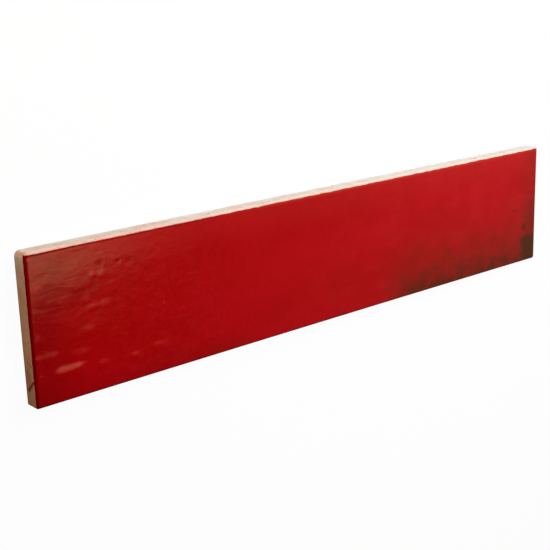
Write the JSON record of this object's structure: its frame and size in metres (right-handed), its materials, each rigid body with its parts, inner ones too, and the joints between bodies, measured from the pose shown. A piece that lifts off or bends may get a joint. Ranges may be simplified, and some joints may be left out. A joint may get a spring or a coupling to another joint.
{
  "type": "ceramic wall tile",
  "caption": "Long, narrow glazed wall tile with a glossy face, bare rounded edges and a shallow keyed back, laid in adhesive to cover a wall.",
  "frame": {"origin": "centre of the back, on the bedding plane", "axes": "+X along the tile's length, +Y across its width, +Z out of the glazed face"},
  "size_m": [0.3, 0.06, 0.0075],
  "materials": {
    "glazed_ceramic": "glossy mottled red glaze on the face, matt cream biscuit on the sides and back"
  },
  "bodies": {
    "root": {"tile": "glazed_ceramic"}
  },
  "joints": []
}
